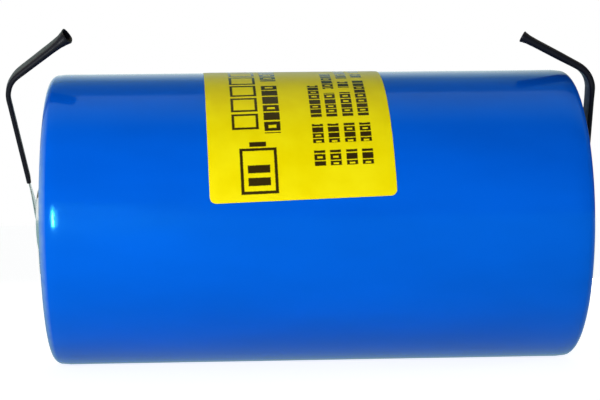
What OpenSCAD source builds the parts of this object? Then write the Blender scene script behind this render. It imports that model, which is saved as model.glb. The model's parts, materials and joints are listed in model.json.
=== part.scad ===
// Spiral-wound lithium primary cell in the D size, with a sleeved ribbon lead welded to each end.
// The cell lies on its side: its axis is X, the positive end is at -X and the leads rise along +Z.
// The origin is the centre of the jacket on the cell's axis. Millimetres.

/* [Cell body] */
// Diameter over the jacket
cell_d = 33.4; // [32:0.1:35]
// Length of the jacket from fold to fold
jacket_len = 59.5; // [58:0.1:62]
// Thickness of the shrink film
film_t = 0.2; // [0.1:0.01:0.3]
// Radius of the jacket's shoulders
shoulder_r = 0.8; // [0.6:0.05:1.4]
// How far the film folds in over each end
fold_w = 3.1; // [2:0.1:4]

/* [Label] */
// Length of the label along the cell
label_len = 20; // [12:0.5:26]
// Angle that the label wraps round the jacket
label_wrap = 100; // [60:1:120]
// Angle above the horizontal where the label starts
label_start = 6.2; // [0:0.1:20]
// Distance of the label's middle from the cell's middle
label_shift = -2; // [-6:0.1:6]
// How far the label is turned off square
label_skew = 1.9; // [0:0.1:4]
// Thickness of the label
label_t = 0.08; // [0.05:0.01:0.12]

/* [Steel case] */
// Wall of the can
can_wall = 0.35; // [0.25:0.01:0.5]
// Bottom of the can
can_floor = 0.5; // [0.4:0.05:0.8]
// Thickness of the lid's flange
lid_t = 0.9; // [0.7:0.05:1.1]
// Radius of the coined vent groove in the can's bottom
vent_r = 9; // [7:0.1:11]

/* [Positive terminal] */
// Diameter of the raised cap
nub_d = 8.2; // [7.8:0.1:9]
// How far the cap stands beyond the jacket
nub_h = 1.8; // [1.4:0.05:2]
// Sheet of the cap
cap_t = 0.35; // [0.25:0.01:0.45]

/* [Wound electrodes] */
// Turns of each sheet
turns = 5.5; // [4:0.25:5.5]
// Radius of the empty core
core_r = 2.6; // [2.6:0.05:2.8]
// Lithium foil
anode_t = 0.5; // [0.3:0.05:0.5]
// Carbon sheet
cathode_t = 1.0; // [0.7:0.05:1.0]
// Glass-fibre separator
separator_t = 0.2; // [0.1:0.01:0.2]
// Free space between two sheets
sheet_gap = 0.04; // [0.02:0.01:0.04]

/* [Leads] */
// Width of the nickel ribbon
ribbon_w = 2.8; // [2.2:0.1:3.2]
// Thickness of the nickel ribbon
ribbon_t = 0.15; // [0.1:0.01:0.18]
// Length of ribbon that lies on the terminal
foot_len = 6.2; // [4:0.1:7]
// Height where each ribbon leaves its terminal
root_z = 0; // [-1:0.01:1]
// Wall of the insulating sleeve
sleeve_wall = 0.15; // [0.1:0.01:0.15]
// How far the ribbon stops short of the sleeve's mouth
tip_inset = 1.5; // [0.5:0.1:2]

/* [Positive lead] */
// How far the lead is turned about the cell's axis, towards the label's side
pos_splay = 22.5; // [0:0.5:30]
// Heading of the straight part, 90 being straight up
pos_heading = 99.6; // [97:0.1:110]
// Length from the root to the elbow's corner
pos_rise = 16.8; // [16:0.1:18]
// Turn at the elbow
pos_elbow = 62.5; // [50:0.5:70]
// Radius of the elbow
pos_elbow_r = 3.4; // [2:0.1:3.6]
// Length from the elbow's corner to the sleeve's mouth
pos_tip = 9; // [6:0.1:10]
// Bare ribbon below the sleeve
pos_bare = 5.2; // [3:0.1:8]
// Thickness of the sleeve where it is pressed flat on the ribbon
pos_flat_t = 0.5; // [0.5:0.01:0.8]
// Thickness of the sleeve past the elbow, where it is rounder
pos_round_t = 0.6; // [0.5:0.01:1.1]

/* [Negative lead] */
// How far the lead is turned about the cell's axis, towards the label's side
neg_splay = 12; // [0:0.5:30]
// Heading of the first straight part, 90 being straight up
neg_heading = 62.3; // [58:0.1:75]
// Length from the root to the corner where the lead turns upright
neg_kick = 4.5; // [4:0.1:8]
// Turn where the lead becomes upright
neg_kick_turn = 24.8; // [15:0.1:26]
// Radius of that turn
neg_kick_r = 2.5; // [2:0.1:3]
// Length from there to the elbow's corner
neg_rise = 12.5; // [12:0.1:14]
// Turn at the elbow
neg_elbow = 65.2; // [50:0.1:72]
// Radius of the elbow
neg_elbow_r = 3; // [2:0.1:3.4]
// Length from the elbow's corner to the sleeve's mouth
neg_tip = 9.1; // [6:0.1:10]
// Bare ribbon between the upright corner and the sleeve
neg_bare = 0.9; // [0.5:0.05:5]
// Thickness of the sleeve where it is pressed flat on the ribbon
neg_flat_t = 0.5; // [0.5:0.01:0.8]
// Thickness of the sleeve past the elbow, where it is rounder
neg_round_t = 0.95; // [0.5:0.01:1.1]

/* [Hidden] */
$fn = 96;

fit_gap = 0.01;                                  // between parts that touch on the real cell
cell_r = cell_d / 2;
half_len = jacket_len / 2;
can_r = cell_r - film_t - fit_gap;
can_half = half_len - film_t - fit_gap;
bore_r = can_r - can_wall;                       // inside of the can
floor_z = -can_half + can_floor;                 // inside of the can's bottom
washer_t = 0.5;
rim_z = can_half - washer_t - 2 * fit_gap;       // top of the can and of the lid's flange

well_r = 8;                                      // recess in the lid for the fuse and the potting
well_wall = 0.6;
well_depth = 2.6;
well_z = rim_z - well_depth;                     // top of the well's floor
well_floor = 0.8;
glass_r = 2.6;
collar_r = 3.3;
collar_h = 1;
pin_r = 1;
pin_bore_r = 0.5;
pin_low_z = well_z - well_floor - 0.9;
pin_top_z = well_z + 1.6;
pin_web = 0.6;                                   // closed lower end of the pin
plug_len = 0.8;
plug_depth = 0.7;                                // how far the plug reaches into the pin's bore
plug_head_t = 0.2;
brim_r = 7.2;
brim_z = rim_z - 0.5;                            // underside of the cap's brim
nub_top_z = half_len + nub_h;

layer_step = anode_t + cathode_t + 2 * separator_t + 4 * sheet_gap;
seg = 10;                                        // degrees between the points of a wound sheet
sheet_top_z = well_z - well_floor - 2.5;         // top of the cathode
sheet_low_z = floor_z + 1;                       // bottom of the cathode
anode_inset = 0.4;                               // the foil ends this far inside the cathode
separator_lip = 0.5;                             // the separators end this far beyond the cathode
disc_t = 0.4;
disc_lift = 0.75;                                // from the cathode's top to the top insulator
tab_t = 0.1;
tab_w = 2.4;
tab_clear = 0.2;                                 // round a strip where it passes through an insulator
tab_turn = 3;                                    // turn of the cathode that its strip is welded to
cathode_start = core_r + anode_t + separator_t + 2 * sheet_gap;
cathode_tab_r = cathode_start + cathode_t / 2 + tab_turn * layer_step;

knuckle_gap = 0.02;
knuckle_angles = [75 : -15 : -75];               // corners of the rounded end of a hinged strip
ribbon_cut = ribbon_t / 2 + knuckle_gap;         // where a fixed ribbon end stops short of a hinge line
sleeve_cut = 0.35;                               // where each sleeve half stops short of the hinge line
sleeve_play = 0.045;                             // beside the ribbon, at each edge
bend_step = 6;                                   // degrees between the flats of a bent strip
deg = 180 / PI;

pos_root_x = -(nub_top_z + fit_gap + ribbon_t / 2);
neg_root_x = can_half + fit_gap + ribbon_t / 2;

pos_tangent = pos_elbow_r * tan(pos_elbow / 2);  // length that the elbow's arc takes from each side
neg_tangent = neg_elbow_r * tan(neg_elbow / 2);
kick_tangent = neg_kick_r * tan(neg_kick_turn / 2);

// Each lead as runs of [straight length, turn, turn radius], cut in two at the middle of its elbow.
pos_lower = [[pos_rise - pos_tangent, -pos_elbow / 2, pos_elbow_r]];
pos_upper = [[0, -pos_elbow / 2, pos_elbow_r], [pos_tip - pos_tangent, 0, 0]];
neg_lower = [
    [neg_kick - kick_tangent, neg_kick_turn, neg_kick_r],
    [neg_rise - kick_tangent - neg_tangent, neg_elbow / 2, neg_elbow_r]
];
neg_upper = [[0, neg_elbow / 2, neg_elbow_r], [neg_tip - neg_tangent, 0, 0]];

// The runs with `cut` taken off the far end, which is the end of a straight or of a turn.
function trimmed(runs, cut) = [for (i = [0 : len(runs) - 1])
    i < len(runs) - 1 ? runs[i]
    : runs[i][1] == 0 ? [runs[i][0] - cut, 0, 0]
    : [runs[i][0], shorter(runs[i][1], cut, runs[i][2]), runs[i][2]]];

// A turn with an arc of length `cut` taken off it.
function shorter(turn, cut, radius) = turn - sign(turn) * cut / radius * deg;

// The point [x, y, heading] after turning from point p on an arc.
function turned(p, turn, radius) = let (r = sign(turn) * radius)
    [p[0] + r * (sin(p[2] + turn) - sin(p[2])), p[1] - r * (cos(p[2] + turn) - cos(p[2])), p[2] + turn];

// The centre line along the runs, as points [x, y, heading].
function trace(runs, i = 0, p = [0, 0, 0]) =
    i == len(runs) ? [p]
    : let (
        length = runs[i][0],
        turn = runs[i][1],
        bend = [p[0] + length * cos(p[2]), p[1] + length * sin(p[2]), p[2]],
        steps = ceil(abs(turn) / bend_step),
        arc = [for (k = [1 : 1 : steps]) turned(bend, turn * k / steps, runs[i][2])]
    ) concat(
        [p],
        length > 0 && steps > 0 ? [bend] : [],
        [for (k = [0 : 1 : steps - 2]) arc[k]],
        trace(runs, i + 1, steps > 0 ? arc[steps - 1] : bend)
    );

// A flat strip along a centre line, with a half-round knuckle at its start where it is hinged.
module strip(line, thickness, width, hinged = false) {
    function side(p, offset) = [p[0] - offset * sin(p[2]), p[1] + offset * cos(p[2])];
    half = thickness / 2;
    left = [for (p = line) side(p, half)];
    right = [for (i = [len(line) - 1 : -1 : 0]) side(line[i], -half)];
    back = line[0][2] + 180;
    start = line[0];
    knuckle = [for (a = knuckle_angles) [start[0] + half * cos(back + a), start[1] + half * sin(back + a)]];
    linear_extrude(width, center = true) polygon(concat(left, right, hinged ? knuckle : []));
}

// Places children at the end of the runs.
module at_end(runs) {
    line = trace(runs);
    end = line[len(line) - 1];
    translate([end[0], end[1], 0]) rotate([0, 0, end[2]]) children();
}

// Turns a flat lead drawn in XY upright at its root, splayed about the cell's axis.
module lead(root_x, splay, heading) {
    translate([root_x, 0, root_z]) rotate([90 + splay, 0, 0]) rotate([0, 0, heading]) children();
}

module pos_lead() { lead(pos_root_x, pos_splay, pos_heading) children(); }
module neg_lead() { lead(neg_root_x, neg_splay, neg_heading) children(); }

module stadium(w, t) {
    square([t, w - t], center = true);
    for (side = [-1, 1]) translate([0, side * (w - t) / 2]) circle(d = t);
}

// A flattened tube. Its bore keeps its width, so a rounder sleeve is only thicker.
module sleeve_section(t) {
    bore_w = ribbon_w + 2 * sleeve_play;
    difference() {
        stadium(bore_w + 2 * sleeve_wall, t);
        stadium(bore_w, t - 2 * sleeve_wall);
    }
}

// The cell's own parts are drawn upright round Z, positive end up, then laid along X.
module laid() { rotate([0, -90, 0]) children(); }

// Half section of a round-shouldered body, in radius and height.
module capsule_half(r, half, corner) {
    translate([0, -half]) square([r - corner, 2 * half]);
    translate([0, -half + corner]) square([r, 2 * (half - corner)]);
    for (end = [-1, 1]) translate([r - corner, end * (half - corner)]) circle(corner);
}

module outer_jacket() {
    color("royalblue") laid() rotate_extrude() difference() {
        capsule_half(cell_r, half_len, shoulder_r);
        capsule_half(cell_r - film_t, half_len - film_t, shoulder_r - film_t);
        translate([0, -half_len - 1]) square([cell_r - fold_w, jacket_len + 2]);
    }
}

module printed_label() {
    corner = 0.7;
    middle = label_start + label_wrap / 2;
    chord = 2 * cell_r * sin(label_wrap / 2);
    color("yellow") intersection() {
        rotate([0, 90, 0]) difference() {
            cylinder(r = cell_r + label_t, h = jacket_len, center = true);
            cylinder(r = cell_r + fit_gap / 2, h = jacket_len + 1, center = true);
        }
        translate([label_shift, 0, 0]) rotate([90 - middle, 0, 0]) rotate([0, 0, label_skew])
            linear_extrude(cell_r + 1) {
                square([label_len, chord - 2 * corner], center = true);
                square([label_len - 2 * corner, chord], center = true);
                for (x = [-1, 1] * (label_len / 2 - corner), y = [-1, 1] * (chord / 2 - corner))
                    translate([x, y]) circle(corner, $fn = 32);
            }
    }
}

module can() {
    corner = shoulder_r - film_t - fit_gap;
    bore_corner = 0.6;
    groove_r = 0.18;
    color("silver") laid() difference() {
        rotate_extrude() difference() {
            capsule_half(can_r, can_half, corner);
            translate([0, rim_z]) square([can_r + 1, can_half]);
            translate([0, floor_z + bore_corner]) square([bore_r, jacket_len]);
            translate([0, floor_z]) square([bore_r - bore_corner, jacket_len]);
            translate([bore_r - bore_corner, floor_z + bore_corner]) circle(bore_corner);
        }
        rotate([0, 0, 30]) rotate_extrude(angle = 300)
            translate([vent_r, -can_half]) circle(groove_r, $fn = 24);
    }
}

module lid() {
    outer_r = bore_r - fit_gap;
    low_z = well_z - well_floor;
    color("gainsboro") laid() rotate_extrude() {
        difference() {
            translate([0, low_z]) square([well_r + well_wall, rim_z - low_z]);
            translate([0, well_z]) square([well_r, well_depth + 1]);
            translate([0, low_z - 1]) square([glass_r, well_depth]);
        }
        translate([well_r, rim_z - lid_t]) square([outer_r - well_r, lid_t]);
        translate([glass_r, low_z]) square([collar_r - glass_r, well_floor + collar_h]);
    }
}

module glass_seal() {
    meniscus = 0.1;
    color("darkseagreen") laid() rotate_extrude()
        translate([pin_r + fit_gap / 2, well_z - well_floor])
            square([glass_r - pin_r - fit_gap, well_floor + collar_h - meniscus]);
}

module terminal_pin() {
    color("silver") laid() translate([0, 0, pin_low_z]) difference() {
        cylinder(r = pin_r, h = pin_top_z - pin_low_z);
        translate([0, 0, pin_web]) cylinder(r = pin_bore_r, h = pin_top_z);
    }
}

module fill_ball() {
    color("lightsteelblue") laid() translate([0, 0, pin_top_z - 2 * plug_depth])
        sphere(r = pin_bore_r - fit_gap / 2);
}

module fill_plug() {
    weld_margin = 0.05;
    color("gainsboro") laid() {
        translate([0, 0, pin_top_z - plug_depth]) cylinder(r = pin_bore_r - fit_gap / 2, h = plug_len);
        translate([0, 0, pin_top_z]) cylinder(r = pin_r - weld_margin, h = plug_head_t);
    }
}

// A thin strip folded in an S between the closed pin and the inside of the cap.
module fuse_link() {
    link_t = 0.12;
    link_w = 1.6;
    reach = 2.4;
    low_z = pin_top_z + plug_head_t;
    top_z = nub_top_z - cap_t;
    bend_r = (top_z - low_z - link_t - 2 * fit_gap) / 4;
    runs = [[reach, 180, bend_r], [reach, -180, bend_r], [reach, 0, 0]];
    color("goldenrod") laid() translate([-reach / 2, 0, low_z + fit_gap + link_t / 2])
        rotate([90, 0, 0]) strip(trace(runs), link_t, link_w);
}

module potting_ring() {
    inner_r = collar_r + 0.2;
    color("dimgray") laid() rotate_extrude() translate([inner_r, well_z + fit_gap])
        square([well_r - inner_r - fit_gap, brim_z - well_z - 2 * fit_gap]);
}

module positive_cap() {
    nub_r = nub_d / 2;
    edge = 0.6;
    color("lightgray") laid() rotate_extrude() difference() {
        union() {
            translate([0, brim_z]) square([brim_r, cap_t]);
            translate([0, brim_z]) square([nub_r, nub_top_z - edge - brim_z]);
            translate([0, brim_z]) square([nub_r - edge, nub_top_z - brim_z]);
            translate([nub_r - edge, nub_top_z - edge]) circle(edge, $fn = 48);
        }
        translate([0, brim_z - 1]) square([nub_r - cap_t, nub_top_z - edge - brim_z + 1]);
        translate([0, brim_z - 1]) square([nub_r - edge, nub_top_z - cap_t - brim_z + 1]);
        translate([nub_r - edge, nub_top_z - edge]) circle(edge - cap_t, $fn = 48);
    }
}

module insulating_washer() {
    inner_r = nub_d / 2 + 0.15;
    outer_r = cell_r - shoulder_r;
    color("ivory") laid() rotate_extrude()
        translate([inner_r, rim_z + fit_gap]) square([outer_r - inner_r, washer_t]);
}

module top_insulator() {
    rim_gap = 0.15;
    slot = [tab_t + 2 * tab_clear, tab_w + 2 * tab_clear, 3 * disc_t];
    color("honeydew") laid() translate([0, 0, sheet_top_z + disc_lift]) difference() {
        cylinder(r = bore_r - rim_gap, h = disc_t);
        translate([0, 0, -disc_t]) cylinder(r = core_r, h = 3 * disc_t);
        translate([cathode_tab_r, 0, disc_t / 2]) cube(slot, center = true);
    }
}

module bottom_insulator() {
    rim_gap = 0.8;
    color("honeydew") laid() translate([0, 0, floor_z + fit_gap]) difference() {
        cylinder(r = bore_r - rim_gap, h = disc_t);
        translate([0, 0, -disc_t]) cylinder(r = core_r, h = 3 * disc_t);
    }
}

// One wound sheet. `start` is its inner radius at the first turn, `low` and `top` its ends along the cell.
module wound_sheet(start, thickness, low, top) {
    angles = [for (k = [0 : round(turns * 360 / seg)]) k * seg];
    function spiral(a, r) = (r + layer_step * a / 360) * [cos(a), sin(a)];
    back = [for (k = [len(angles) - 1 : -1 : 0]) angles[k]];
    laid() translate([0, 0, low]) linear_extrude(top - low)
        polygon(concat([for (a = angles) spiral(a, start)], [for (a = back) spiral(a, start + thickness)]));
}

module lithium_anode() {
    color("lightsteelblue")
        wound_sheet(core_r, anode_t, sheet_low_z + anode_inset, sheet_top_z - anode_inset);
}

module inner_separator() {
    start = core_r + anode_t + sheet_gap;
    color("white")
        wound_sheet(start, separator_t, sheet_low_z - separator_lip, sheet_top_z + separator_lip);
}

module carbon_cathode() {
    color("black") wound_sheet(cathode_start, cathode_t, sheet_low_z, sheet_top_z);
}

module outer_separator() {
    start = core_r + anode_t + separator_t + cathode_t + 3 * sheet_gap;
    color("white")
        wound_sheet(start, separator_t, sheet_low_z - separator_lip, sheet_top_z + separator_lip);
}

// Nickel strip down the core, folded under the roll on to the can's floor.
module anode_tab() {
    fold_r = 0.4;
    drop = 10;
    reach = 2.6;
    tab_inset = 0.7;                             // clear of the foil's inner end
    x = core_r - tab_inset;
    runs = [[drop, -90, fold_r], [reach, 0, 0]];
    color("silver") laid() translate([x, 0, floor_z + fit_gap + tab_t / 2 + fold_r + drop])
        rotate([90, 0, 0]) rotate([0, 0, -90]) strip(trace(runs), tab_t, tab_w);
}

// Nickel strip from the cathode's edge through the top insulator to the underside of the pin.
module cathode_tab() {
    fold_r = 0.4;
    run_z = pin_low_z - fit_gap - tab_t / 2;
    rise = run_z - fold_r - sheet_top_z - fit_gap;
    runs = [[rise, 90, fold_r], [cathode_tab_r - fold_r, 0, 0]];
    color("silver") laid() translate([cathode_tab_r, 0, sheet_top_z + fit_gap])
        rotate([90, 0, 0]) rotate([0, 0, 90]) strip(trace(runs), tab_t, tab_w);
}

// The part of a ribbon that is welded flat on its terminal.
module tab_foot() {
    color("silver") translate([-ribbon_cut - foot_len / 2, 0, 0])
        cube([foot_len, ribbon_t, ribbon_w], center = true);
}

module ribbon_lower(lower) {
    color("silver") strip(trace(trimmed(lower, ribbon_cut)), ribbon_t, ribbon_w, hinged = true);
}

module ribbon_upper(lower, upper) {
    color("silver") at_end(lower)
        strip(trace(trimmed(upper, tip_inset)), ribbon_t, ribbon_w, hinged = true);
}

// Half of a sleeve: a straight tube, then its share of the elbow.
module sleeve(length, turn, radius, t) {
    color("black") {
        rotate([90, 0, 90]) linear_extrude(length) sleeve_section(t);
        translate([length, 0, 0]) mirror([0, turn < 0 ? 1 : 0, 0])
            translate([0, radius, 0]) rotate([0, 0, -90])
                rotate_extrude(angle = abs(shorter(turn, sleeve_cut, radius)))
                    translate([radius, 0]) sleeve_section(t);
    }
}

module sleeve_lower(run, bare, t) {
    translate([bare, 0, 0]) sleeve(run[0] - bare, run[1], run[2], t);
}

// The far half is drawn back from its mouth.
module sleeve_upper(lower, upper, t) {
    at_end(concat(lower, upper)) rotate([0, 0, 180])
        sleeve(upper[1][0], -upper[0][1], upper[0][2], t);
}

module positive_tab_foot() { lead(pos_root_x, pos_splay, 90) tab_foot(); }
module positive_ribbon_lower() { pos_lead() ribbon_lower(pos_lower); }
module positive_ribbon_upper() { pos_lead() ribbon_upper(pos_lower, pos_upper); }
module positive_sleeve_lower() { pos_lead() sleeve_lower(pos_lower[0], pos_bare, pos_flat_t); }
module positive_sleeve_upper() { pos_lead() sleeve_upper(pos_lower, pos_upper, pos_round_t); }

module negative_tab_foot() { lead(neg_root_x, neg_splay, 90) tab_foot(); }
module negative_ribbon_lower() { neg_lead() ribbon_lower(neg_lower); }
module negative_ribbon_upper() { neg_lead() ribbon_upper(neg_lower, neg_upper); }
module negative_sleeve_lower() {
    neg_lead() at_end([neg_lower[0]]) sleeve_lower(neg_lower[1], neg_bare, neg_flat_t);
}
module negative_sleeve_upper() { neg_lead() sleeve_upper(neg_lower, neg_upper, neg_round_t); }

outer_jacket();
printed_label();
can();
lid();
glass_seal();
terminal_pin();
fill_ball();
fill_plug();
fuse_link();
potting_ring();
positive_cap();
insulating_washer();
top_insulator();
bottom_insulator();
lithium_anode();
anode_tab();
carbon_cathode();
cathode_tab();
inner_separator();
outer_separator();
positive_tab_foot();
positive_ribbon_lower();
positive_ribbon_upper();
positive_sleeve_lower();
positive_sleeve_upper();
negative_tab_foot();
negative_ribbon_lower();
negative_ribbon_upper();
negative_sleeve_lower();
negative_sleeve_upper();
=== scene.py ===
import json
import math

import bmesh
import bpy
from mathutils import Matrix, Vector, noise

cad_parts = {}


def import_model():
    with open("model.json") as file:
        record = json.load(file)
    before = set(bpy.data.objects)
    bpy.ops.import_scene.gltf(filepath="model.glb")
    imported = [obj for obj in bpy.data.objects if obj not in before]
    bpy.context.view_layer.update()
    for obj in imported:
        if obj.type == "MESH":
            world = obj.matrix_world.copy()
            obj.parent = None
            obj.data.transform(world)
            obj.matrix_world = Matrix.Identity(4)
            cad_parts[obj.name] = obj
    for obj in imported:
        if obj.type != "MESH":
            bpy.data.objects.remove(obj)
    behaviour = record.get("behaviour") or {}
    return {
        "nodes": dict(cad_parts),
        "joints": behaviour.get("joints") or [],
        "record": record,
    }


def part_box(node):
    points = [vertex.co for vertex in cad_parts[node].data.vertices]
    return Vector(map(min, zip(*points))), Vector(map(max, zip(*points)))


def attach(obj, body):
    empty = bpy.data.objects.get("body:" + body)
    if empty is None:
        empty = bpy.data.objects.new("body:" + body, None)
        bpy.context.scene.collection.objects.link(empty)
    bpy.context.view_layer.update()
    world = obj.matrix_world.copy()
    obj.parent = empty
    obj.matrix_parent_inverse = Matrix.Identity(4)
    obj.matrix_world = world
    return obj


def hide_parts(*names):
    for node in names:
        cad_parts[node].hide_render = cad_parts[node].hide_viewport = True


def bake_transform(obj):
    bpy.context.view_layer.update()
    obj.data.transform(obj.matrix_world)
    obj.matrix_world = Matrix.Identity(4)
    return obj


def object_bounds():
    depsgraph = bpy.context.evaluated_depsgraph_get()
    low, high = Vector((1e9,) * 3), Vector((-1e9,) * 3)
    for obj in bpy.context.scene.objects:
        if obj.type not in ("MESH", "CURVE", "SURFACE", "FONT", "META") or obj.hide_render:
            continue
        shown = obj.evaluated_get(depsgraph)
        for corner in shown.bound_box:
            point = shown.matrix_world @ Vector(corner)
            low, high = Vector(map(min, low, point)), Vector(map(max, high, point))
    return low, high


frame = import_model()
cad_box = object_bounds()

# Looks for a spiral-wound lithium D cell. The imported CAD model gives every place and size. The shrink
# jacket, the label, the two ribbons and the two sleeves are built here. Every other node keeps its mesh
# and gets a material. The cell lies along X with its positive end at -X, and the leads stand up along +Z.
# Lengths named here are in mm, and angles in degrees unless a line says otherwise.
MM = 0.001

# Jacket, and the colours of its film
FILM_T = 0.2
SHOULDER_R = 0.8
FOLD_W = 3.1
SHOULDER_DROP = 0.3  # how much the film tightens over its last stretch, and that stretch
SHOULDER_REACH = 1.9
SHOULDER_STEP = 15
JACKET_SPOKES = 360
JACKET_ROWS = 58  # along the straight part
FOLD_ROWS = 8
SWELL = 0.02  # slow rise and fall of the film
RIPPLE = 0.03  # faster one near the ends, and how far in it reaches
RIPPLE_REACH = 4.5
END_BULGE = 0.02  # of the film's ends, outwards
GATHERS = 46  # pleats round the fold, and how far the fold's edge stands off the end
GATHER_DEPTH = 0.14
TORN_DEPTH = 0.28  # raggedness of the fold's edge
FILM_DEEP = (0.0, 0.098, 0.65)
FILM_BRIGHT = (0.0, 0.112, 0.73)
# pale blue of a painted reflection on the positive shoulder
FILM_PAINTED_REFLECTION = (0.16, 0.31, 0.64)
REFLECTION_X = (-28.95, -29.55)  # where along the cell the painted reflection on the shoulder starts, and where it is brightest
REFLECTION_R = (15.2, 15.7)  # the same going outwards from the axis
REFLECTION_Z = (11.0, 3.0)  # the same going down

# Label, as a sheet wrapped round the jacket
LABEL_W = 19.95
LABEL_LEN = 28.9
LABEL_CORNER = 0.7
LABEL_T = 0.08
LABEL_LIFT = 0.005  # of its underside off the jacket
LABEL_LIP = 0.02  # how much thinner it is at its long edges
LABEL_COLUMNS = 40
LABEL_ROWS = 60
LABEL_SKEW = math.radians(1.95)
LABEL_FOOT = (-1.6, 1.78)  # middle of the lower edge: along the cell, and round it from the front

# Ribbons
RIBBON_W = 2.8
RIBBON_T = 0.15
FOOT_LEN = 6.2
ROOT_BEND_R = 1.0
TIP_INSET = 1.5
RIBBON_COLUMNS = 24
ROOT_STEP = 0.12  # between rings of the ribbon: near the root, and past the elbow
END_STEP = 0.2
RIBBON_JOIN = 3.4  # from the elbow's corner back to where the ribbon's two lengths meet
JOIN_GAP = 0.02  # half the hairline gap there
WELD_R = 0.27
WELD_DEPTH = 0.05
WELDS = [(x, y) for y in (0.9, 1.9, 2.9) for x in (-0.55, 0.55)]  # across the foot, and below the root

# Sleeves
SLEEVE_WALL = 0.15
SLEEVE_GIRTH = 7.0
SLEEVE_SPOKES = 48
SLEEVE_STEP = 0.22
MOUTH_SPREAD = 0.12  # extra width at the mouth, and how far back it reaches
MOUTH_REACH = 0.8
CUT_REACH = 2.0  # how far back from the mouth a slanting cut is felt
FLAT_SHARPNESS = 3.6  # squareness of the section, where pressed flat and where round
ROUND_SHARPNESS = 2.2
MOUTH_LIP = 0.05  # how far the wall's middle stands beyond its edges, at the mouth and at the foot
FOOT_LIP = 0.06
TWIST_START = 4.5  # length over which the twist grows from the root, and over which it goes again
TWIST_END = 3.5
TWIST_PAST = 1.5  # how far past the elbow's corner it is gone

LEADS = {
    "positive": {
        "outside": 1,  # the side of the path, from its left, that faces away from the cell
        "heading": 99.6,
        "kick": 0,
        "kick_r": 0,
        "tip": 9.0,  # from the elbow's corner to the mouth
        "elbow_r": 3.4,
        "bare": 5.2,  # ribbon showing above the root
        "twist": -9.0,  # of the rising part about its own length, in degrees, which the elbow undoes
        # Thickness of the sleeve at distances back from the mouth
        "thickness": [(0, 1.7), (0.5, 1.36), (1.2, 1.04), (2.4, 0.86), (6.0, 0.76), (8.5, 0.64), (11, 0.52),
                      (99, 0.48)],
        "mouth_cut": 0.0,  # slant of the mouth across its width
    },
    "negative": {
        "outside": -1,
        "heading": 62.3,
        "kick": 4.5,  # from the root to the corner where the lead turns upright
        "kick_r": 2.5,
        "tip": 9.1,
        "elbow_r": 3.0,
        "bare": 5.9,
        "twist": 0.0,
        "thickness": [(0, 1.36), (0.3, 1.18), (0.8, 1.04), (1.8, 0.98), (4.5, 0.96), (7.0, 0.88),
                      (9.5, 0.7), (12.0, 0.56), (99, 0.5)],
        "mouth_cut": -0.36,
    },
}

# Camera, as a place and turns in radians about Z, its own side axis and its own line of sight
CAMERA_AT = (-9.17, -186.1, 0.33)
CAMERA_YAW = 0.0421
CAMERA_PITCH = 0.0084
CAMERA_ROLL = -0.0136
CAMERA_LENS = 95.88
CAMERA_SENSOR = 36
CAMERA_NEAREST = 0.005  # metres

# Studio light. The backdrop is given as (share of the way from in front to behind, colour). Each lamp is
# given as (name, place, aim, width and height, watts, whether it makes only a highlight).
BACKDROP = [
    (0.0, (0.22, 0.25, 0.26)), (0.1, (0.07, 0.08, 0.08)), (0.35, (0.09, 0.1, 0.1)),
    (0.46, (0.38, 0.45, 0.46)), (0.55, (0.5, 0.6, 0.62)), (0.685, (0.48, 0.58, 0.6)),
    (0.7, (0.08, 0.18, 0.19)), (0.77, (0.09, 0.2, 0.21)), (0.83, (0.15, 0.33, 0.34)),
    (0.87, (0.22, 0.4, 0.41)), (0.905, (0.46, 0.72, 0.73)), (0.95, (0.8, 0.98, 1.0)),
]
LEFT_WALL = (0.96, 1.04, 1.08)
RIGHT_WALL = (0.15, 0.22, 0.24)
BEHIND_RIGHT = (0.01, 0.02, 0.03)
ROOM_LIGHT = 0.173
FLOOR_COLOUR = 0.5
FLOOR_LIGHT = 0.147
FLOOR_MIRRORED = (0.3, 0.48, 0.52)
FLOOR_SEEN = 0.86
FLOOR_REACH = 3.0  # metres
LAMPS = [
    ("spark", (-64, -150, 1), (-5, 0, 0), (9, 30), 0.13, True),
    ("spark_halo", (-66, -154, 3), (-5, 0, 0), (30, 52), 0.03, True),
    ("left_fill", (-114, -163, -15), (-2, 0, 0), (90, 90), 0.216, False),
    ("middle_fill", (-57, -213, 0), (-2, 0, 0), (90, 90), 0.331, False),
    ("right_fill", (220, 60, 0), (0, 0, 0), (90, 90), 0.22, False),
    ("back_fill", (60, 210, 0), (0, 0, 0), (90, 90), 0.36, False),
]


# ----------------------------------------------------------------------------------- mesh building

def clamp(value, low=0.0, high=1.0):
    return max(low, min(high, value))


def smooth(value):
    value = clamp(value)
    return value * value * (3 - 2 * value)


def lerp(a, b, share):
    return a + (b - a) * share


def read_curve(points, at):
    """The value at a place on a curve given as (place, value) pairs, eased between them."""
    for (x0, y0), (x1, y1) in zip(points, points[1:]):
        if at <= x1:
            return lerp(y0, y1, smooth((at - x0) / (x1 - x0)))
    return points[-1][1]


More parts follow.
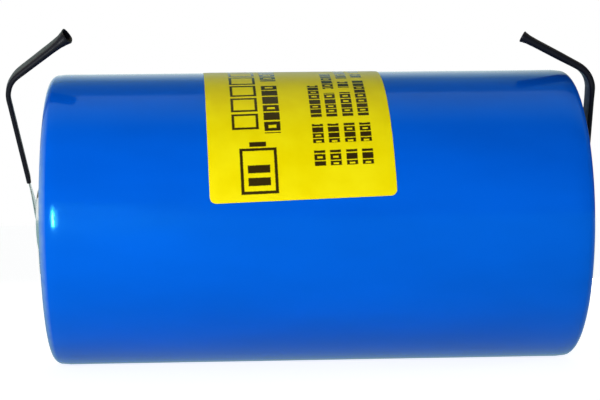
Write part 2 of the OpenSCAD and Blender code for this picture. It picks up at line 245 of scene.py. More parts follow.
def loft(name, rings, looped, uv=None):
    """A closed mesh through rings of points in mm. A looped one joins its last ring to its first, and
    another is capped at both ends."""
    count, spokes = len(rings), len(rings[0])
    verts = [Vector(p) * MM for ring in rings for p in ring]
    spans = count if looped else count - 1
    cells = [(i, j) for i in range(spans) for j in range(spokes)]
    corners = [[(i, j), (i + 1, j), (i + 1, j + 1), (i, j + 1)] for i, j in cells]
    faces = [[(i % count) * spokes + j % spokes for i, j in quad] for quad in corners]
    if not looped:
        faces += [list(range(spokes)), [(count - 1) * spokes + j for j in range(spokes)]]
        corners += [[(0, j) for j in range(spokes)], [(count - 1, j) for j in range(spokes)]]
    mesh = bpy.data.meshes.new(name)
    mesh.from_pydata(verts, [], faces)
    if uv:
        layer = mesh.uv_layers.new(name="Print")
        flat = [uv(i, j) for quad in corners for i, j in quad]
        for loop, place in zip(layer.data, flat):
            loop.uv = place
    work = bmesh.new()
    work.from_mesh(mesh)
    bmesh.ops.recalc_face_normals(work, faces=work.faces)
    work.to_mesh(mesh)
    work.free()
    mesh.shade_smooth()
    mesh.set_sharp_from_angle(angle=math.radians(42))
    piece = bpy.data.objects.new(name, mesh)
    bpy.context.scene.collection.objects.link(piece)
    return piece


def dress(piece, slot_name, *nodes):
    """Gives a piece its material, and has it stand for its CAD nodes."""
    piece.data.materials.append(MATERIALS[slot_name])
    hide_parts(*nodes)
    return piece


# -------------------------------------------------------------------------------- jacket and label

def jacket_profile(half, radius):
    """The film's outer face from end to end, as (x, radius, how far towards the fold's edge, 0 to 1)."""
    middle_x, middle_r = half - SHOULDER_R, radius - SHOULDER_R
    flat = [(lerp(-middle_x, middle_x, k / JACKET_ROWS), radius, 0) for k in range(JACKET_ROWS + 1)]
    turn = [math.radians(a) for a in range(SHOULDER_STEP, 91, SHOULDER_STEP)]
    shoulder = [(middle_x + SHOULDER_R * math.sin(a), middle_r + SHOULDER_R * math.cos(a), 0) for a in turn]
    reach = FOLD_W - SHOULDER_R
    fold = [(half, middle_r - reach * k / FOLD_ROWS, k / FOLD_ROWS) for k in range(1, FOLD_ROWS + 1)]
    right = shoulder + fold
    left = [(-x, r, edge) for x, r, edge in reversed(right)]
    return left + flat + right


def film_point(x, radius, edge, angle, half):
    """A point of the film: faint ripples along the cell, and gathers where it is folded over the ends."""
    around = Vector((math.cos(angle), math.sin(angle), 0)) * 3.2
    side = 1 if x > 0 else -1
    near_end = smooth((abs(x) - half + RIPPLE_REACH) / RIPPLE_REACH)
    swell = 0.5 + 0.5 * noise.noise(around + Vector((5.3, 1.7, x * 0.11)))
    ripple = 0.5 + 0.5 * noise.noise(around * 2.6 + Vector((0, 9.1, x * 0.3)))
    uneven = 5 * noise.noise(around * 1.3 + Vector((side * 7.7, 0, 3)))
    gather = 0.5 + 0.5 * math.sin(GATHERS * angle + uneven)
    torn = noise.noise(around * 2.2 + Vector((side * 4.1, 8.8, 0)))
    radius += SWELL * swell + RIPPLE * near_end * ripple + edge * TORN_DEPTH * torn
    radius -= SHOULDER_DROP * clamp((abs(x) - half + SHOULDER_REACH) / SHOULDER_REACH) ** 2
    x += side * (END_BULGE * near_end + GATHER_DEPTH * edge * edge * gather)
    return (x, -radius * math.cos(angle), radius * math.sin(angle))


def inside_of(x, radius, edge, half, outer):
    """The place on the film's inner face behind a place on its outer face."""
    middle_x, middle_r = math.copysign(half - SHOULDER_R, x), outer - SHOULDER_R
    shrink = (SHOULDER_R - FILM_T) / SHOULDER_R
    if edge > 0:
        return x - math.copysign(FILM_T, x), radius, edge
    if abs(x) > half - SHOULDER_R:
        return middle_x + (x - middle_x) * shrink, middle_r + (radius - middle_r) * shrink, edge
    return x, radius - FILM_T, edge


def jacket():
    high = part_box("outer_jacket")[1]
    half, outer = high.x / MM, high.z / MM
    profile = jacket_profile(half, outer)
    profile += [inside_of(*place, half, outer) for place in reversed(profile)]
    angles = [2 * math.pi * k / JACKET_SPOKES for k in range(JACKET_SPOKES)]
    rings = [[film_point(x, r, edge, angle, half) for angle in angles] for x, r, edge in profile]
    piece = loft("jacket", rings, looped=True)
    dress(piece, "shrink_film", "outer_jacket")
    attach(piece, "cell")


def label_half_width(v):
    """Half the label's width at a distance along its length, which its rounded corners narrow."""
    to_end = min(v, LABEL_LEN - v)
    gap = max(0.0, LABEL_CORNER - to_end)
    return LABEL_W / 2 - (LABEL_CORNER - math.sqrt(max(0.0, LABEL_CORNER ** 2 - gap ** 2)))


def label_place(u, v, height, radius):
    """A point on the label's sheet, put round the jacket."""
    cos, sin = math.cos(LABEL_SKEW), math.sin(LABEL_SKEW)
    x = LABEL_FOOT[0] + u * cos - v * sin
    angle = (LABEL_FOOT[1] + u * sin + v * cos) / radius
    return (x, -(radius + height) * math.cos(angle), (radius + height) * math.sin(angle))


def label_sheet():
    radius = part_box("outer_jacket")[1].z / MM
    ends = [LABEL_CORNER * (1 - math.cos(math.radians(a))) for a in range(0, 91, 10)]
    low, high = LABEL_CORNER, LABEL_LEN - LABEL_CORNER
    rows = ends + [lerp(low, high, k / LABEL_ROWS) for k in range(1, LABEL_ROWS)]
    rows += [LABEL_LEN - v for v in reversed(ends)]
    across = [lerp(-1, 1, k / LABEL_COLUMNS) for k in range(LABEL_COLUMNS + 1)]
    heights = [LABEL_T - LABEL_LIP] + [LABEL_T] * (LABEL_COLUMNS - 1) + [LABEL_T - LABEL_LIP]
    rings, places = [], []
    for v in rows:
        half = label_half_width(v)
        top = [(s * half, height) for s, height in zip(across, heights)]
        bottom = [(s * half, LABEL_LIFT) for s in reversed(across)]
        places.append([(u, v) for u, _ in top + bottom])
        rings.append([label_place(u, v, h, radius) for u, h in top + bottom])
    spokes = len(rings[0])
    piece = loft("label_sheet", rings, looped=False, uv=lambda i, j: places[i][j % spokes])
    dress(piece, "label", "printed_label")
    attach(piece, "cell")


# ------------------------------------------------------------------------------------------- leads

def fillet(corners, radii, step_deg=5):
    """A 2-D path through corners, each inner one rounded to its radius."""
    path = [corners[0]]
    for before, corner, after, radius in zip(corners, corners[1:], corners[2:], radii):
        inward, outward = (corner - before).normalized(), (after - corner).normalized()
        turn = math.atan2(inward.x * outward.y - inward.y * outward.x, inward.dot(outward))
        start = corner - inward * radius * math.tan(abs(turn) / 2)
        side = Vector((-inward.y, inward.x)) * math.copysign(radius, turn)
        centre = start + side
        steps = max(2, round(math.degrees(abs(turn)) / step_deg))
        for k in range(steps + 1):
            path.append(centre + Matrix.Rotation(turn * k / steps, 2) @ (start - centre))
    return path + [corners[-1]]


def along(path, start, end, step):
    """Evenly spaced (distance, point, direction) on a path, measured along it."""
    spans = [(b - a).length for a, b in zip(path, path[1:])]
    count = max(1, round((end - start) / step))
    found = []
    for k in range(count + 1):
        want, i = lerp(start, end, k / count), 0
        left = want
        while i < len(spans) - 1 and left > spans[i]:
            left -= spans[i]
            i += 1
        direction = (path[i + 1] - path[i]).normalized()
        before = (path[i] - path[i - 1]).normalized() if i else direction
        after = (path[i + 2] - path[i + 1]).normalized() if i + 2 < len(path) else direction
        share = clamp(left / spans[i])
        eased = direction + (before * (0.5 - share) if share < 0.5 else after * (share - 0.5)) \
            if len(path) > 3 else direction
        found.append((want, path[i] + direction * left, eased.normalized()))
    return found


class Lead:
    """The centre line of one lead, from the end of its foot to the sleeve's mouth."""

    def __init__(self, side):
        self.side, self.shape = side, LEADS[side]
        root = next(j for j in frame["joints"] if j["name"] == side + "_lead_root")
        mount = next(m for m in frame["record"]["mounts"] if m["name"] == side + "_lead_tip")
        normal = Vector(root["axis"]).normalized()
        self.normal = normal * (1 if Vector((1, 0, 0)).cross(normal).z < 0 else -1)
        self.up = self.normal.cross(Vector((1, 0, 0)))
        self.root = Vector(root["pos_m"]) / MM
        tip = self.flat(Vector(mount["pos_m"]) / MM)
        axis = Vector(mount["axis"])
        end = Vector((axis.x, axis.dot(self.up))).normalized()
        corner = tip - end * self.shape["tip"]
        heading = math.radians(self.shape["heading"])
        kick = Vector((math.cos(heading), math.sin(heading))) * self.shape["kick"]
        corners, radii = [Vector((0, -FOOT_LEN)), Vector((0, 0))], [ROOT_BEND_R]
        if self.shape["kick"]:
            corners.append(kick)
            radii.append(self.shape["kick_r"])
        self.corner, self.end = corner, end
        self.rise = (corner - corners[-1]).normalized()
        self.path = fillet(corners + [corner, tip], radii + [self.shape["elbow_r"]])
        self.length = sum((b - a).length for a, b in zip(self.path, self.path[1:]))

    def flat(self, point):
        """A point in mm as a place in the lead's own plane."""
        reach = point - self.root
        return Vector((reach.x, reach.dot(self.up)))

    def space(self, place, across=0.0):
        """A place in the lead's plane, and a distance out of it, as a point in mm."""
        return self.root + Vector((place.x, 0, 0)) + self.up * place.y + self.normal * across

    def twisted(self, across, out, distance):
        """A place in the cross section, after the lead's slight twist."""
        from_root = distance - FOOT_LEN
        from_elbow = self.mouth_distance(distance) - self.shape["tip"]
        share = smooth(from_root / TWIST_START) * smooth((from_elbow + TWIST_PAST) / TWIST_END)
        angle = math.radians(self.shape["twist"]) * share
        cos, sin = math.cos(angle), math.sin(angle)
        return across * cos - out * sin, across * sin + out * cos

    def mouth_distance(self, distance):
        return self.length - distance

    def strip(self, name, start, end, step):
        """A length of nickel ribbon with rounded edges, and weld marks on its foot."""
        half, edge = RIBBON_W / 2, RIBBON_T / 2
        across = [lerp(-half + edge, half - edge, k / RIBBON_COLUMNS) for k in range(RIBBON_COLUMNS + 1)]
        turns = [math.radians(a) for a in (60, 30, 0, -30, -60)]
        loop = [(c, edge) for c in across]
        loop += [(half - edge + edge * math.cos(a), edge * math.sin(a)) for a in turns]
        loop += [(c, -edge) for c in reversed(across)]
        loop += [(-half + edge - edge * math.cos(a), -edge * math.sin(a)) for a in turns]
        rings = []
        for distance, point, direction in along(self.path, start, end, step):
            out = Vector((-direction.y, direction.x)) * self.shape["outside"]
            ring = []
            for c, o in loop:
                if o > 0.99 * edge:
                    o -= self.weld(c, FOOT_LEN - distance)
                c, o = self.twisted(c, o, distance)
                ring.append(self.space(point + out * o, c))
            rings.append(ring)
        return loft(name, rings, looped=False)

    def weld(self, across, below):
        """Depth of the weld marks at a place on the foot."""
        deepest = 0.0
        for x, y in WELDS:
            gap = math.hypot(across - x, below - y) / WELD_R
            if gap < 1:
                deepest = max(deepest, WELD_DEPTH * (1 - gap * gap) ** 0.7)
        return deepest

    def sleeve_ring(self, point, direction, back, inset, shift=0.0):
        """One ring of the sleeve's skin, inset from its outer face."""
        t = read_curve(self.shape["thickness"], max(back, 0))
        wide = (SLEEVE_GIRTH - math.pi * t) / 2 + t + MOUTH_SPREAD * smooth(1 - back / MOUTH_REACH)
        t, wide = t - 2 * inset, wide - 2 * inset
        sharp = lerp(FLAT_SHARPNESS, ROUND_SHARPNESS, smooth((t - 0.5) / 0.6))
        out = Vector((-direction.y, direction.x)) * self.shape["outside"]
        cut = self.shape["mouth_cut"] * smooth(1 - back / CUT_REACH)
        ring = []
        for k in range(SLEEVE_SPOKES):
            a = 2 * math.pi * k / SLEEVE_SPOKES
            c = (wide - t) / 2 * clamp(sharp * math.cos(a), -1, 1) + t / 2 * math.cos(a)
            o = t / 2 * math.sin(a)
            slide = shift - cut * c / (wide / 2)
            c, o = self.twisted(c, o, self.length - back)
            ring.append(self.space(point + out * o + direction * slide, c))
        return ring

    def sleeve(self):
        start = FOOT_LEN + self.shape["bare"]
        stations = [(p, d, self.mouth_distance(s)) for s, p, d in
                    along(self.path, start, self.length, SLEEVE_STEP)]
        rim = SLEEVE_WALL / 2
        outer = [self.sleeve_ring(*station, 0) for station in stations]
        mouth = [self.sleeve_ring(*stations[-1], rim * k, MOUTH_LIP) for k in (0.5, 1.5)]
        inner = [self.sleeve_ring(*station, SLEEVE_WALL) for station in reversed(stations)]
        foot = [self.sleeve_ring(*stations[0], rim * k, -FOOT_LIP) for k in (1.6, 0.6)]
        rings = outer + mouth + inner + foot
        return loft(self.side + "_sleeve", rings, looped=True)

    def build(self):
        side, shape = self.side, self.shape
        join = self.length - shape["tip"] - RIBBON_JOIN
        root_piece = self.strip(side + "_ribbon_root", 0, join - JOIN_GAP, ROOT_STEP)
        dress(root_piece, "nickel_ribbon", side + "_tab_foot", side + "_ribbon_lower")
        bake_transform(root_piece)
        end_piece = self.strip(side + "_ribbon_end", join + JOIN_GAP, self.length - TIP_INSET, END_STEP)
        dress(end_piece, "nickel_ribbon", side + "_ribbon_upper")
        tube = self.sleeve()
        dress(tube, "black_sleeve", side + "_sleeve_lower", side + "_sleeve_upper")
        for piece in (end_piece, tube):
            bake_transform(piece)


# --------------------------------------------------------------------------------------- materials

class Graph:
    """Short ways to add nodes to a tree."""

    def __init__(self, tree):
        self.tree = tree

    def feed(self, socket, value):
        if isinstance(value, bpy.types.NodeSocket):
            self.tree.links.new(value, socket)
        elif value is not None:
            socket.default_value = value

    def node(self, kind, settings=None, **inputs):
        made = self.tree.nodes.new("ShaderNode" + kind)
        for key, value in (settings or {}).items():
            setattr(made, key, value)
        for key, value in inputs.items():
            self.feed(made.inputs[key], value)
        return made

    def math(self, operation, a, b=None, clamped=False):
        made = self.tree.nodes.new("ShaderNodeMath")
        made.operation, made.use_clamp = operation, clamped
        self.feed(made.inputs[0], a)
        self.feed(made.inputs[1], b)
        return made.outputs[0]

    def place(self, stretch=(1, 1, 1)):
        """The place on the object in mm, stretched along its axes."""
        at = self.node("TexCoord").outputs["Object"]
        made = self.tree.nodes.new("ShaderNodeVectorMath")
        made.operation = "MULTIPLY"
        self.feed(made.inputs[0], at)
        self.feed(made.inputs[1], [s / MM for s in stretch])
        return made.outputs[0]

    def parts(self, vector):
        """The X, Y and Z of a vector."""
        split = self.node("SeparateXYZ", Vector=vector)
        return [split.outputs[axis] for axis in "XYZ"]

    def length(self, a, b):
        return self.math("SQRT", self.math("ADD", self.math("MULTIPLY", a, a), self.math("MULTIPLY", b, b)))

    def off_centre(self, value, pitch):
        """How far a value lies from the middle of the step of a pitch that it is in."""
        share = self.math("FRACT", self.math("DIVIDE", value, pitch))
        return self.math("MULTIPLY", self.math("ABSOLUTE", self.math("SUBTRACT", share, 0.5)), pitch)

    def highest(self, values):
        """The largest of several values."""
        found = values[0]
        for value in values[1:]:
            found = self.math("MAXIMUM", found, value)
        return found

    def noise(self, vector, scale, detail=2.0, rough=0.5):
        made = self.node("TexNoise", Vector=vector, Scale=scale, Detail=detail, Roughness=rough)
        return made.outputs["Fac"]

    def spread(self, value, low, high, to_low=0.0, to_high=1.0):
        made = self.node("MapRange")
        for key, number in zip(("Value", "From Min", "From Max", "To Min", "To Max"),
                               (value, low, high, to_low, to_high)):
            self.feed(made.inputs[key], number)
        return made.outputs["Result"]

    def ramp(self, value, stops):
        """A colour ramp through (place, colour) stops."""
        made = self.node("ValToRGB", Fac=value)
        elements = made.color_ramp.elements
        while len(elements) < len(stops):
            elements.new(0.5)
        for element, (place, colour) in zip(elements, stops):
            element.position, element.color = place, (*colour, 1)
        return made.outputs["Color"]

    def mix(self, share, a, b):
        made = self.node("Mix", {"data_type": "RGBA"})
        self.feed(made.inputs[0], share)
        self.feed(made.inputs[6], (*a, 1) if isinstance(a, tuple) else a)
        self.feed(made.inputs[7], (*b, 1) if isinstance(b, tuple) else b)
        return made.outputs[2]

    def bump(self, height, depth, normal=None):
        """Relief of a depth in mm."""
        made = self.node("Bump", Height=height, Strength=1.0)
        made.inputs["Distance"].default_value = depth * MM
        if normal:
            self.feed(made.inputs["Normal"], normal)
        return made.outputs["Normal"]


class Shader(Graph):
    """A node material on one Principled surface."""

    def __init__(self, name):
        self.material = bpy.data.materials.new(name)
        self.material.use_nodes = True
        super().__init__(self.material.node_tree)
        self.surface = self.tree.nodes["Principled BSDF"]

    def finish(self, colour, rough, metal=0.0, normal=None, **inputs):
        values = {"Base Color": (*colour, 1) if isinstance(colour, tuple) else colour,
                  "Roughness": rough, "Metallic": metal, "Normal": normal}
        values.update({key.replace("_", " "): value for key, value in inputs.items()})
        for key, value in values.items():
            self.feed(self.surface.inputs[key], value)
        return self.material


def painted_shoulder_reflection(s, at):
    """How strongly a painted reflection pales the film over the positive shoulder, most of all below the
    middle.
    """
    x, y, z = s.parts(at)
    radius = s.length(y, z)
    over = s.math("MULTIPLY", s.spread(x, *REFLECTION_X), s.spread(radius, *REFLECTION_R))
    below = s.spread(z, *REFLECTION_Z, 0.3, 1.0)
    patchy = s.spread(s.noise(at, 0.8, 3), 0.3, 0.6, 0.6, 1.0)
    return s.math("MULTIPLY", s.math("MULTIPLY", over, below), patchy)


def shrink_film():
    s = Shader("shrink_film")
    at = s.place()
    drawn = s.noise(s.place((0.35, 1, 1)), 0.16, 2)
    colour = s.mix(s.spread(drawn, 0.3, 0.7), FILM_DEEP, FILM_BRIGHT)
    # painted reflection: the film turns pale over the positive shoulder
    colour = s.mix(painted_shoulder_reflection(s, at), colour, FILM_PAINTED_REFLECTION)
    normal = s.bump(drawn, 0.035)
    normal = s.bump(s.noise(at, 0.9, 3), 0.004, normal)
    normal = s.bump(s.noise(at, 9, 2), 0.0006, normal)
    rough = s.spread(s.noise(at, 1.7, 4), 0.3, 0.7, 0.07, 0.12)
    steep = s.spread(s.node("LayerWeight", Blend=0.5).outputs["Facing"], 0.5, 0.76)
    sheen = s.mix(steep, (0.08, 0.9, 1.0), (0.1, 0.95, 1.0))  # the dye holds back red
    return s.finish(colour, rough, normal=normal, Specular_Tint=sheen, IOR=1.5)


def soft_box(s, u, v, u0, u1, v0, v1):
    """How far a point lies inside a box on the label, in mm; negative outside."""
    return s.math("MINIMUM",
                  s.math("MINIMUM", s.math("SUBTRACT", u, u0), s.math("SUBTRACT", u1, u)),
                  s.math("MINIMUM", s.math("SUBTRACT", v, v0), s.math("SUBTRACT", v1, v)))


def blocks(s, u, v, middle, height, pitch, seed):
    """A row of blocks along v, the size of print; some have a hollow. Positive inside a block."""
    uneven = s.math("MULTIPLY", s.math("SINE", s.math("MULTIPLY", v, 1.7)), 0.1)
    along_line = s.math("ADD", v, uneven)
    off_middle = s.off_centre(along_line, pitch)
    off_line = s.math("ABSOLUTE", s.math("SUBTRACT", u, middle))
    block = s.math("SUBTRACT", 0.43 * pitch, off_middle)
    hollow = s.math("MINIMUM", s.math("SUBTRACT", 0.13 * pitch, off_middle),
                    s.math("SUBTRACT", 0.24 * height, off_line))
    number = s.math("FLOOR", s.math("DIVIDE", along_line, pitch))
    pick = s.math("FRACT", s.math("MULTIPLY", s.math("ADD", number, seed), 0.618))
    hollow = s.math("SUBTRACT", hollow, s.math("MULTIPLY", s.math("LESS_THAN", pick, 0.5), pitch))
    return s.math("MINIMUM", block, s.math("MULTIPLY", hollow, -1))


def bar_line(s, u, v, middle, height, words, pitch, seed):
    """One line of blocks that stands in for print."""
    u0, u1 = middle - height / 2, middle + height / 2
    bars = s.highest([soft_box(s, u, v, u0, u1, v0, v1) for v0, v1 in words])
    return s.math("MINIMUM", bars, blocks(s, u, v, middle, height, pitch, seed))


def solid_blocks(s, u, v, middle, height, pitch, v0, v1):
    """Plain blocks without hollows, to be outlined."""
    line = soft_box(s, u, v, middle - height / 2, middle + height / 2, v0, v1)
    return s.math("MINIMUM", line, s.math("SUBTRACT", 0.44 * pitch, s.off_centre(v, pitch)))


def outline(s, inside, width):
    """A line just inside the edge of a shape."""
    half = width / 2
    return s.math("SUBTRACT", half, s.math("ABSOLUTE", s.math("SUBTRACT", inside, half)))


def label_ink(s):
    """Generic dark marks: an outlined cell, two headings and four lines of plain blocks. Positive inside
    the ink. Print runs along v, and each line is given by its middle across it."""
    u, v, _ = s.parts(s.node("UVMap", {"uv_map": "Print"}).outputs["UV"])
    lines = [
        (1.98, 1.0, [(3.6, 5.4), (6.3, 8.8), (9.8, 15.7)]),
        (3.68, 4.0, [(3.6, 5.4), (6.3, 8.8), (9.8, 13.9), (14.8, 19.9)]),
        (5.42, 2.0, [(3.6, 5.4), (6.3, 8.8), (9.8, 14.0), (15.0, 16.6), (17.6, 23.4)]),
        (7.12, 7.0, [(3.6, 5.4), (6.3, 8.8), (9.8, 16.8), (17.8, 19.5), (20.4, 25.3)]),
    ]
    marks = [
        outline(s, soft_box(s, u, v, -6.6, -2.6, 0.8, 6.0), 0.34),
        soft_box(s, u, v, -5.5, -3.7, 6.15, 6.75),
        soft_box(s, u, v, -5.8, -3.4, 1.7, 2.6),
        soft_box(s, u, v, -5.8, -3.4, 3.1, 4.0),
        outline(s, solid_blocks(s, u, v, -5.8, 2.9, 2.7, 8.4, 27.3), 0.3),
        bar_line(s, u, v, -2.88, 1.75, [(7.8, 15.9), (17.2, 27.3)], 1.35, 3.0),
    ]
    marks += [bar_line(s, u, v, middle, 1.2, words, 0.85, seed) for middle, seed, words in lines]
    return s.highest(marks)


def label():
    s = Shader("label")
    at = s.place()
    ragged = s.math("MULTIPLY", s.math("SUBTRACT", s.noise(at, 7, 3), 0.5), 0.1)
    ink = s.math("ADD", s.math("MULTIPLY", s.math("ADD", label_ink(s), ragged), 12), 0.5, clamped=True)
    cloudy = s.noise(at, 0.35, 3)
    yellow = s.mix(s.spread(cloudy, 0.3, 0.7), (0.86, 0.72, 0.0), (0.92, 0.8, 0.004))
    speck = s.spread(s.noise(at, 5, 3), 0.62, 0.72)
    brown = s.mix(speck, (0.030, 0.017, 0.004), (0.055, 0.034, 0.006))
    colour = s.mix(ink, yellow, brown)
    normal = s.bump(s.noise(at, 1.2, 3), 0.004)
    normal = s.bump(s.noise(at, 22, 2), 0.0012, normal)
    normal = s.bump(ink, 0.004, normal)
    rough = s.mix(ink, (0.36,) * 3, (0.24,) * 3)
    return s.finish(colour, rough, normal=normal, Specular_Tint=(1.0, 0.85, 0.05, 1))


def brushed(name, light, dark, stretch, scale, rough, depth, spots=0.0):
    """Metal with fine drawn lines, and cloudier patches where it has dulled."""
    s = Shader(name)
    lines = s.noise(s.place(stretch), scale, 3, 0.6)
    cloud = s.noise(s.place(), 0.7, 4, 0.6)
    shade = s.math("ADD", s.math("MULTIPLY", lines, 0.6), s.math("MULTIPLY", cloud, 0.4))
    colour = s.mix(s.spread(shade, 0.35, 0.65), dark, light)
    if spots:
        stain = s.spread(s.noise(s.place(), 2.6, 5, 0.7), 0.6, 0.75, 0, spots)
        colour = s.mix(stain, colour, tuple(c * 0.45 for c in dark))
    shine = s.spread(shade, 0.3, 0.7, rough - 0.07, rough + 0.09)
    return s.finish(colour, shine, metal=1.0, normal=s.bump(lines, depth))


def turned(name, light, dark, rough, depth):
    """Metal with marks that run round the cell's axis, as on a drawn can."""
    s = Shader(name)
    _, y, z = s.parts(s.place())
    radius = s.length(y, z)
    rings = s.node("TexNoise", {"noise_dimensions": "1D"}, W=radius, Scale=5.0, Detail=4.0).outputs["Fac"]
    cloud = s.noise(s.place(), 0.22, 4, 0.6)
    scratch = s.spread(s.noise(s.place((1, 1, 0.08)), 3.5, 4, 0.7), 0.62, 0.7)
    colour = s.mix(s.spread(cloud, 0.3, 0.7), dark, light)
    colour = s.mix(s.math("MULTIPLY", scratch, 0.3), colour, tuple(min(1, c * 1.2) for c in light))
    shine = s.spread(s.math("ADD", s.math("MULTIPLY", rings, 0.5), s.math("MULTIPLY", cloud, 0.5)),
                     0.3, 0.7, rough - 0.08, rough + 0.1)
    normal = s.bump(scratch, depth, s.bump(rings, depth))
    return s.finish(colour, shine, metal=1.0, normal=normal)


def fibrous(name, light, dark, scale, depth, rough=0.9):
    """Pressed fibres lying both ways, with darker flecks."""
    s = Shader(name)
    one = s.noise(s.place((1, 1, 0.16)), scale, 3, 0.65)
    two = s.noise(s.place((1, 0.16, 1)), scale, 3, 0.65)
    fibres = s.math("MAXIMUM", one, two)
    fleck = s.spread(s.noise(s.place(), scale * 1.7, 2), 0.68, 0.74)
    colour = s.mix(s.spread(fibres, 0.45, 0.7), dark, light)
    colour = s.mix(s.math("MULTIPLY", fleck, 0.5), colour, tuple(c * 0.6 for c in dark))
    return s.finish(colour, rough, normal=s.bump(fibres, depth))


def cast(name, light, dark, rough, depth, scale=1.4, **inputs):
    """Resin, glass or soft metal with a cloudy skin and fine pits."""
    s = Shader(name)
    cloud = s.noise(s.place(), scale, 4, 0.6)
    cells = s.node("TexVoronoi", Vector=s.place(), Scale=scale * 2.2)
    pits = s.spread(cells.outputs["Distance"], 0.0, 0.12)
    colour = s.mix(s.spread(cloud, 0.3, 0.7), dark, light)
    normal = s.bump(pits, depth, s.bump(cloud, depth * 2))
    shine = s.spread(cloud, 0.3, 0.7, rough - 0.05, rough + 0.08)
    return s.finish(colour, shine, normal=normal, **inputs)


def carbon():
    """Carbon pressed into a diamond mesh."""
    s = Shader("carbon")
    x, y, z = s.parts(s.place())
    turn = s.math("MULTIPLY", s.math("ARCTAN2", z, y), 12.0)
    one = s.math("ABSOLUTE", s.math("SINE", s.math("MULTIPLY", s.math("ADD", x, turn), 2.1)))
    two = s.math("ABSOLUTE", s.math("SINE", s.math("MULTIPLY", s.math("SUBTRACT", x, turn), 2.1)))
    mesh = s.spread(s.math("MINIMUM", one, two), 0.05, 0.3)
    grain = s.noise(s.place(), 6, 4, 0.7)
    colour = s.mix(s.spread(grain, 0.35, 0.65), (0.018, 0.018, 0.02), (0.045, 0.045, 0.048))
    return s.finish(colour, 0.85, normal=s.bump(mesh, 0.04, s.bump(grain, 0.02)))


def black_sleeve():
    """Satin black tube, with painted light paling whatever faces up, in patches."""
    s = Shader("black_sleeve")
    at = s.place()
    drawn = s.noise(s.place((1, 6, 1)), 1.3, 3, 0.6)
    up = s.parts(s.node("NewGeometry").outputs["Normal"])[2]
    patchy = s.spread(s.noise(at, 2.3, 5, 0.7), 0.25, 0.7, 0.5, 1.0)
    # painted light: faces turned up are paled, as if lit from above
    painted_top_light = s.math("MULTIPLY", s.spread(up, 0.25, 0.85), patchy)
    colour = s.mix(painted_top_light, (0.006, 0.006, 0.01), (0.085, 0.07, 0.056))
    normal = s.bump(drawn, 0.012)
    normal = s.bump(s.noise(at, 14, 3), 0.003, normal)
    rough = s.spread(s.noise(at, 1.6, 4), 0.3, 0.7, 0.42, 0.56)
    return s.finish(colour, rough, normal=normal, Specular_IOR_Level=0.16)


def nickel_ribbon():
    """Rolled nickel: fine lines along the ribbon, which lies square to Y."""
    s = Shader("nickel_ribbon")
    lines = s.noise(s.place((0.04, 1, 0.04)), 9, 4, 0.65)
    cloud = s.noise(s.place(), 1.1, 4, 0.6)
    colour = s.mix(s.spread(lines, 0.3, 0.7), (0.56, 0.54, 0.5), (0.78, 0.765, 0.73))
    tint = s.spread(s.noise(s.place(), 1.9, 3), 0.6, 0.74, 0, 0.35)
    colour = s.mix(tint, colour, (0.46, 0.38, 0.27))
    shine = s.spread(cloud, 0.3, 0.7, 0.16, 0.32)
    return s.finish(colour, shine, metal=1.0, normal=s.bump(lines, 0.004, s.bump(cloud, 0.01)))


def make_materials():
    """One material for each slot of the record."""
    return {
        "shrink_film": shrink_film(),
        "label": label(),
        "steel_can": turned("steel_can", (0.74, 0.74, 0.73), (0.6, 0.6, 0.59), 0.26, 0.004),
        "stainless": brushed("stainless", (0.68, 0.68, 0.68), (0.55, 0.55, 0.55),
                             stretch=(1, 1, 0.1), scale=4, rough=0.3, depth=0.004, spots=0.2),
        "sealing_glass": cast("sealing_glass", (0.27, 0.38, 0.32), (0.2, 0.3, 0.25), 0.12, 0.004,
                              Coat_Weight=0.4),
        "fuse_alloy": brushed("fuse_alloy", (0.78, 0.66, 0.4), (0.6, 0.47, 0.26),
                              stretch=(0.1, 1, 1), scale=5, rough=0.36, depth=0.003, spots=0.3),
        "potting": cast("potting", (0.12, 0.12, 0.13), (0.07, 0.07, 0.078), 0.38, 0.02),
        "nickel_plate": turned("nickel_plate", (0.82, 0.8, 0.76), (0.68, 0.66, 0.62), 0.2, 0.002),
        "fibre_board": fibrous("fibre_board", (0.86, 0.84, 0.77), (0.72, 0.69, 0.6), 2.4, 0.02),
        "glass_mat": fibrous("glass_mat", (0.93, 0.93, 0.91), (0.8, 0.8, 0.78), 3.4, 0.04),
        "lithium": cast("lithium", (0.7, 0.72, 0.75), (0.5, 0.52, 0.55), 0.45, 0.01, Metallic=0.9),
        "carbon": carbon(),
        "nickel_ribbon": nickel_ribbon(),
        "black_sleeve": black_sleeve(),
    }


def dress_cad():
    """Every CAD node that stays in view takes the material of its slot."""
    for part in frame["record"]["subparts"]:
        node = frame["nodes"][part["node"]]
        node.data.materials.clear()
        node.data.materials.append(MATERIALS[part["material_slot"]])


# ------------------------------------------------------------------------------------------ studio

def world():
    """What shiny parts mirror: a ramp from the front to a white backdrop behind, with paler and darker
    walls at the sides. The camera sees plain white, and matt parts get an even light."""
    made = bpy.data.worlds.new("studio")
    made.use_nodes = True
    g = Graph(made.node_tree)
    x, y, _ = g.parts(g.node("TexCoord").outputs["Generated"])
    behind = g.ramp(g.spread(y, -1, 1), BACKDROP)
    left = g.spread(x, -0.45, -0.8)
    right = g.spread(x, 0.6, 0.9)
    corner = g.math("MULTIPLY", g.spread(x, 0.15, 0.4), g.spread(y, 0.1, 0.5))
    mirrored = g.mix(right, g.mix(left, behind, LEFT_WALL), RIGHT_WALL)
    mirrored = g.mix(corner, mirrored, BEHIND_RIGHT)
    paths = g.node("LightPath")
    light = g.mix(paths.outputs["Is Glossy Ray"], (ROOM_LIGHT,) * 3, mirrored)
    g.feed(made.node_tree.nodes["Background"].inputs["Color"],
           g.mix(paths.outputs["Is Camera Ray"], light, (1.0, 1.0, 1.0)))
    bpy.context.scene.world = made


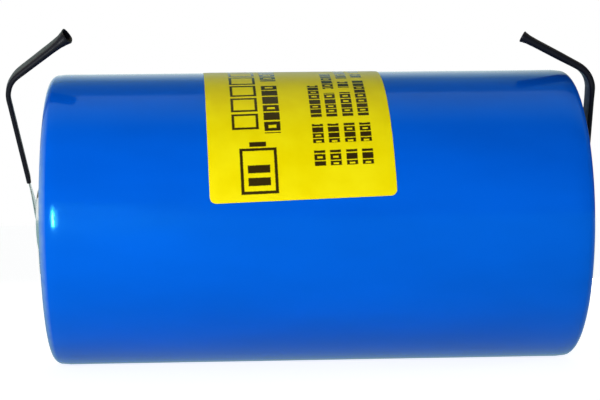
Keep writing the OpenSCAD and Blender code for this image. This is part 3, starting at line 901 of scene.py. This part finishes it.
def floor():
    """A plain pale floor under the cell."""
    height = cad_box[0].z
    corners = [(x * FLOOR_REACH, y * FLOOR_REACH, height) for x, y in ((-1, -1), (1, -1), (1, 1), (-1, 1))]
    mesh = bpy.data.meshes.new("floor")
    mesh.from_pydata(corners, [], [(0, 1, 2, 3)])
    s = Shader("floor")
    paths = s.node("LightPath")
    mirrored, seen = paths.outputs["Is Glossy Ray"], paths.outputs["Is Camera Ray"]
    colour = s.mix(mirrored, (FLOOR_COLOUR,) * 3, (0.0, 0.0, 0.0))
    glow = s.mix(seen, s.mix(mirrored, (FLOOR_LIGHT,) * 3, FLOOR_MIRRORED), (FLOOR_SEEN,) * 3)
    s.finish(colour, 0.9, Emission_Strength=1.0, Emission_Color=glow)
    mesh.materials.append(s.material)
    piece = bpy.data.objects.new("floor", mesh)
    bpy.context.scene.collection.objects.link(piece)


def lamp(name, at, aim, size, power, mirrored):
    """An oval area lamp. A mirrored one makes only a highlight, and the others light without one."""
    data = bpy.data.lights.new(name, "AREA")
    data.shape, data.energy = "ELLIPSE", power
    data.size, data.size_y = size[0] * MM, size[1] * MM
    made = bpy.data.objects.new(name, data)
    bpy.context.scene.collection.objects.link(made)
    made.location = Vector(at) * MM
    made.rotation_mode = "QUATERNION"
    made.rotation_quaternion = (Vector(aim) - Vector(at)).to_track_quat("-Z", "Y")
    made.visible_glossy, made.visible_diffuse = mirrored, not mirrored
    made.visible_camera = False


def camera():
    data = bpy.data.cameras.new("camera")
    data.lens, data.sensor_width, data.clip_start = CAMERA_LENS, CAMERA_SENSOR, CAMERA_NEAREST
    made = bpy.data.objects.new("camera", data)
    bpy.context.scene.collection.objects.link(made)
    side = Vector((math.cos(CAMERA_YAW), -math.sin(CAMERA_YAW), 0))
    level = math.cos(CAMERA_PITCH)
    ahead = Vector((math.sin(CAMERA_YAW) * level, math.cos(CAMERA_YAW) * level, math.sin(CAMERA_PITCH)))
    top = side.cross(ahead)
    cos, sin = math.cos(CAMERA_ROLL), math.sin(CAMERA_ROLL)
    right, up = side * cos + top * sin, top * cos - side * sin
    turn = Matrix((right, up, -ahead)).transposed().to_4x4()
    made.matrix_world = Matrix.Translation(Vector(CAMERA_AT) * MM) @ turn
    bpy.context.scene.camera = made


def studio():
    world()
    floor()
    for values in LAMPS:
        lamp(*values)
    camera()
    bpy.context.scene.view_settings.view_transform = "Standard"


MATERIALS = make_materials()
dress_cad()
jacket()
label_sheet()
Lead("positive").build()
Lead("negative").build()
studio()
